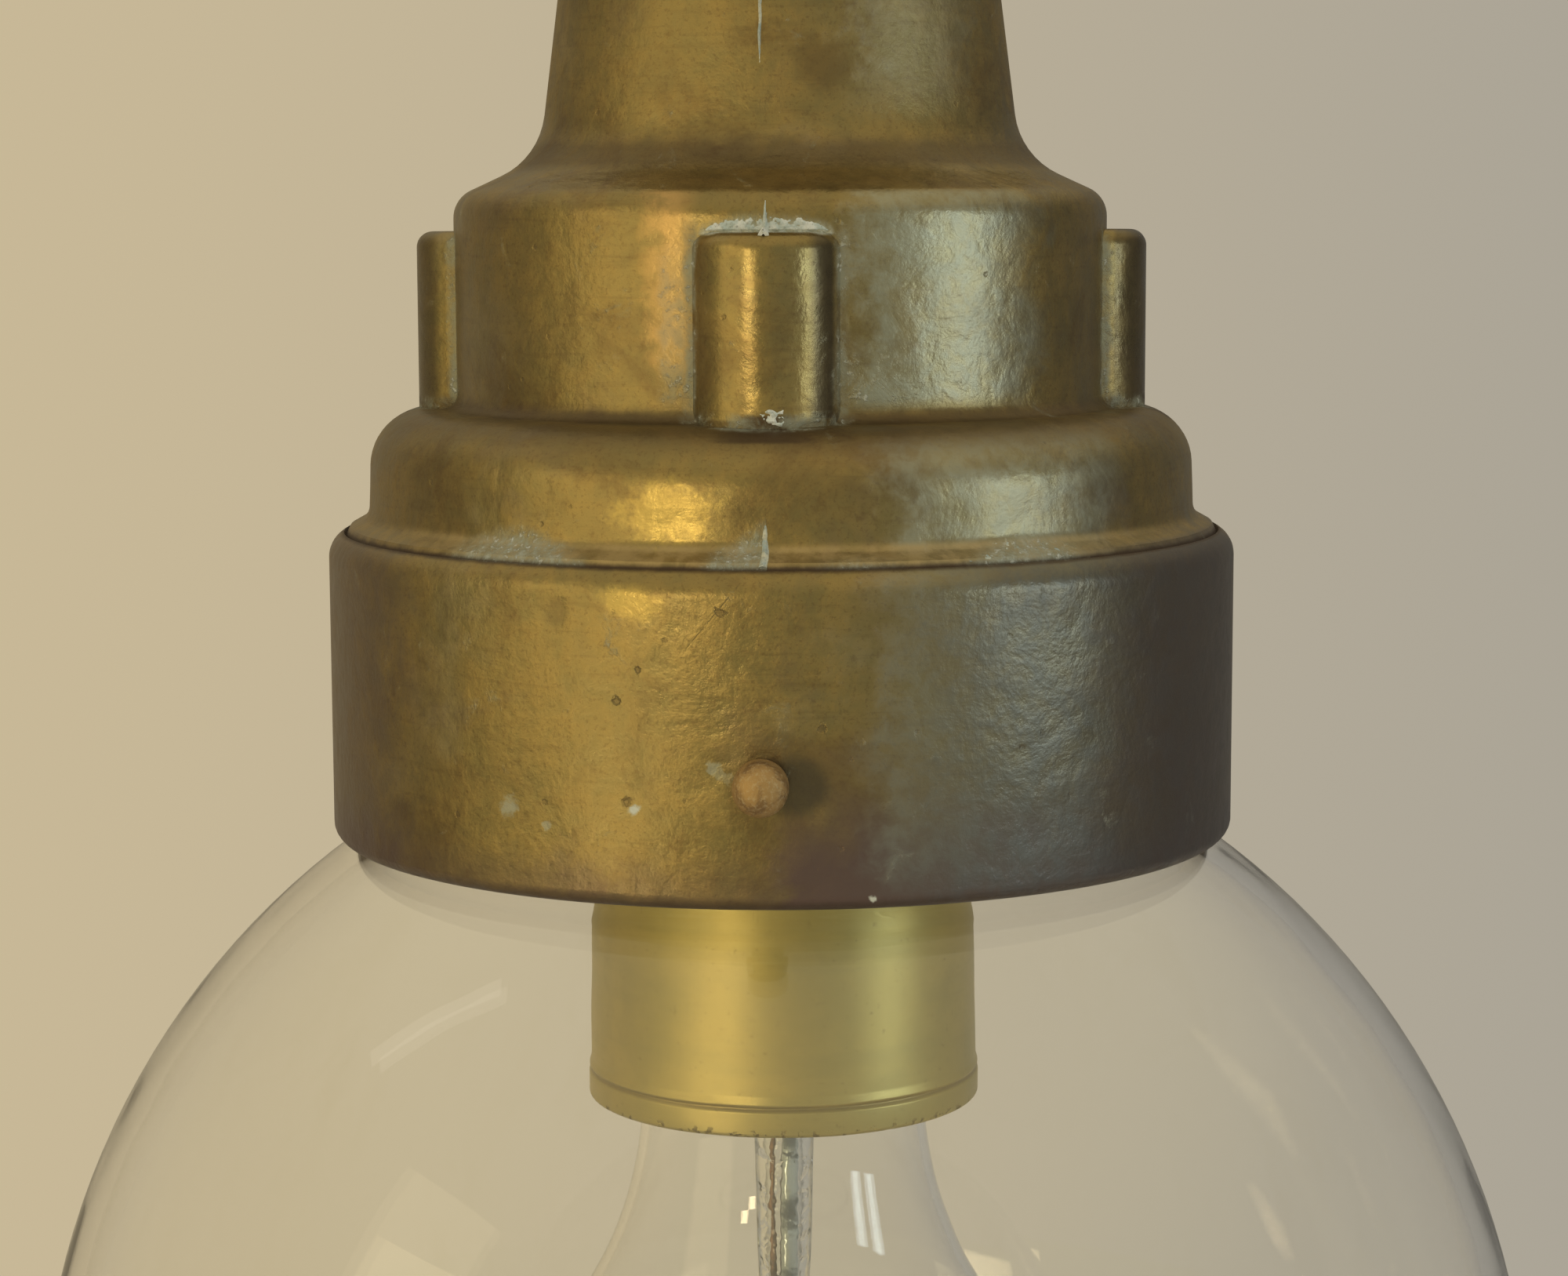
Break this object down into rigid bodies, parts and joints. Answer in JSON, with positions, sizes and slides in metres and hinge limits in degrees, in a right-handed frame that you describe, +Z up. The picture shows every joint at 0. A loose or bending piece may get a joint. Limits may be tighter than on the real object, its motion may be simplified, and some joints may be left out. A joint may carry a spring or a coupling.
{
  "type": "wall light",
  "caption": "Nautical wall light: a stepped cast-brass bell hangs from a flanged elbow arm and holds a clear glass globe round a screw-base bulb.",
  "frame": {"origin": "on the wall, at the centre of the flange and of its circle of wall screws", "axes": "+Y into the wall, +Z up, +X to the right as seen from in front of the lamp, which stands out to -Y"},
  "size_m": [0.161, 0.1905, 0.3596],
  "materials": {
    "patina_brass": "aged, unpolished casting with brown patina and verdigris",
    "bright_brass": "tarnished turned brass",
    "satin_brass": "satin, slightly green",
    "steel": "zinc plated",
    "cap_metal": "bright",
    "porcelain": "glazed porcelain, entered as a glossy solid",
    "terminal_plastic": "cream moulding",
    "rubber": "soft black",
    "clear_glass": "clear, blown",
    "black_glass": "opaque black",
    "tungsten": "fine grey wire",
    "live_sleeve": "brown insulation",
    "neutral_sleeve": "blue insulation"
  },
  "bodies": {
    "lamp": {"wall_flange": "patina_brass", "arm_casting": "patina_brass", "bell_casting": "patina_brass", "wall_gasket": "rubber", "neck_grub_screw": "steel", "terminal_block": "terminal_plastic", "terminal_inserts": "bright_brass", "terminal_screws": "steel", "terminal_block_screw": "steel", "earth_screw": "bright_brass", "earth_washer": "bright_brass", "live_wire": "live_sleeve", "neutral_wire": "neutral_sleeve", "holder_plate": "steel", "plate_screws": "bright_brass", "nipple": "bright_brass", "plate_nuts": "bright_brass", "cup_nut": "bright_brass", "socket_cup": "satin_brass", "holder_bridge": "bright_brass", "bridge_screws": "steel", "porcelain_holder": "porcelain", "screw_shell": "bright_brass", "centre_contact": "bright_brass", "holder_terminals": "bright_brass", "holder_terminal_screws": "steel", "glass_globe": "clear_glass"},
    "front_screw": {"set_screw_front": "bright_brass"},
    "left_screw": {"set_screw_left": "bright_brass"},
    "right_screw": {"set_screw_right": "bright_brass"},
    "bulb": {"bulb_glass": "clear_glass", "bulb_cap": "cap_metal", "bulb_insulator": "black_glass", "bulb_contact": "cap_metal", "bulb_stem": "clear_glass", "bulb_leads": "tungsten", "bulb_supports": "tungsten", "bulb_filament": "tungsten"}
  },
  "joints": [
    {"name": "front_screw_out", "type": "slide", "parent": "lamp", "child": "front_screw", "axis": [0, -1, 0], "range_m": [0, 0.0024]},
    {"name": "left_screw_out", "type": "slide", "parent": "lamp", "child": "left_screw", "axis": [-0.866, 0.5, 0], "range_m": [0, 0.0024]},
    {"name": "right_screw_out", "type": "slide", "parent": "lamp", "child": "right_screw", "axis": [0.866, 0.5, 0], "range_m": [0, 0.0024]},
    {"name": "bulb_down", "type": "slide", "parent": "lamp", "child": "bulb", "axis": [0, 0, -1], "range_m": [0, 0.028]}
  ]
}
